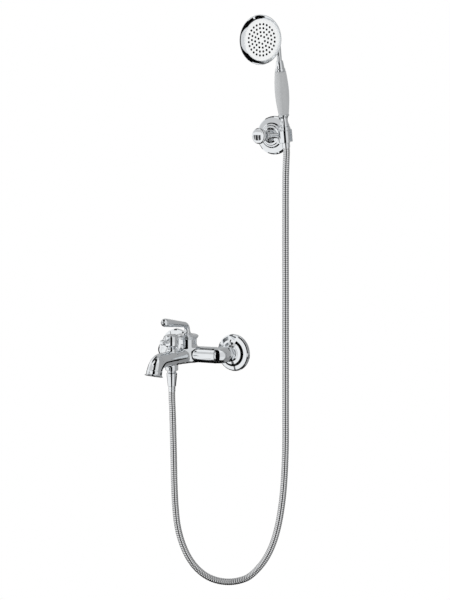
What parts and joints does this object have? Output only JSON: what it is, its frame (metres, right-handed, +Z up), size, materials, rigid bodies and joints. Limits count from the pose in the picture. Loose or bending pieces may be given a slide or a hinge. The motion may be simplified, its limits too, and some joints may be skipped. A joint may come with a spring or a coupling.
{
  "type": "bath shower mixer",
  "caption": "Wall-mounted chrome bath mixer with lever cartridge, spout and diverter, ribbed hose, wall bracket and hand shower with a pale grip.",
  "frame": {"origin": "on the wall face, midway between the two inlet axes", "axes": "+X to the right seen from the room, +Y into the wall, +Z up"},
  "size_m": [0.3865, 0.2282, 1.2022],
  "materials": {
    "chrome": "polished",
    "brass": "machined",
    "rubber": "matt",
    "ceramic": "lapped",
    "white_plastic": "moulded",
    "grip": "satin",
    "fibre": "pressed",
    "face": "satin",
    "hose": "polished, ribbed"
  },
  "bodies": {
    "root": {"mixer_body": "chrome", "inlet_union_left": "chrome", "inlet_union_right": "chrome", "inlet_washers": "fibre", "union_nut_left": "chrome", "union_nut_right": "chrome", "escutcheon_left": "chrome", "escutcheon_right": "chrome", "cartridge_seals": "rubber", "cartridge_housing": "white_plastic", "fixed_disc": "ceramic", "cartridge_nut": "brass", "tower_cap": "chrome", "diverter_bonnet": "chrome", "aerator_housing": "chrome", "aerator_screen": "white_plastic", "aerator_washer": "rubber", "hose_nipple": "chrome", "hose_washer_lower": "rubber", "hose_nut_lower": "chrome", "hose_ferrule_lower": "chrome", "hose": "hose", "bracket_plate": "chrome", "bracket_rosette": "chrome", "bracket_stem": "chrome", "clamp_washer": "chrome"},
    "lever_carrier": {"cartridge_rotor": "white_plastic", "tilt_pin": "brass"},
    "lever": {"cartridge_stem": "brass", "lever_handle": "chrome", "lever_tip": "chrome", "lever_screw": "brass"},
    "carriage": {"moving_disc": "ceramic", "disc_carriage": "white_plastic"},
    "diverter": {"diverter_spindle": "brass", "diverter_seal": "rubber", "diverter_knob": "chrome", "diverter_pin": "chrome", "diverter_pin_knob": "chrome"},
    "holder": {"holder_hub": "chrome", "holder_arm": "chrome", "holder_socket": "chrome"},
    "clamp": {"clamp_knob": "chrome"},
    "hose_end": {"hose_nut_upper": "chrome", "hose_washer_upper": "rubber", "hose_ferrule_upper": "chrome"},
    "handset": {"handset_tail": "chrome", "handset_grip": "grip", "handset_tube": "brass", "handset_ring": "chrome", "handset_collar": "chrome", "handset_neck": "chrome", "head_shell": "chrome", "head_bezel": "chrome", "face_gasket": "rubber", "spray_face": "face"}
  },
  "joints": [
    {"name": "lever_swing", "type": "hinge", "parent": "root", "child": "lever_carrier", "pos_m": [0, -0.07, 0], "axis": [0, 0, 1], "range_deg": [-50, 50]},
    {"name": "lever_tilt", "type": "hinge", "parent": "lever_carrier", "child": "lever", "pos_m": [0, -0.07, 0.034], "axis": [-1, 0, 0], "range_deg": [0, 20]},
    {"name": "disc_slide", "type": "slide", "parent": "lever_carrier", "child": "carriage", "axis": [0, -1, 0], "range_m": [0, 0.0057]},
    {"name": "diverter_turn", "type": "hinge", "parent": "root", "child": "diverter", "pos_m": [0, -0.127, 0], "axis": [0, 0, 1], "range_deg": [0, 90]},
    {"name": "holder_swivel", "type": "hinge", "parent": "root", "child": "holder", "pos_m": [0.176, 0, 0.468], "axis": [0, 1, 0], "range_deg": [-30, 30], "deforming": ["hose"]},
    {"name": "clamp_turn", "type": "hinge", "parent": "root", "child": "clamp", "pos_m": [0.176, 0, 0.468], "axis": [0, -1, 0], "range_deg": [0, 270]},
    {"name": "handset_lift", "type": "slide", "parent": "holder", "child": "hose_end", "axis": [0, -0.1564, 0.9877], "range_m": [0, 0.026]},
    {"name": "handset_turn", "type": "hinge", "parent": "hose_end", "child": "handset", "pos_m": [0.222, -0.0325, 0.468], "axis": [0, -0.1564, 0.9877], "range_deg": [-90, 90]}
  ],
  "couplings": [
    {"joint": "disc_slide", "follows": "lever_tilt", "m_per_rad": 0.016069}
  ]
}
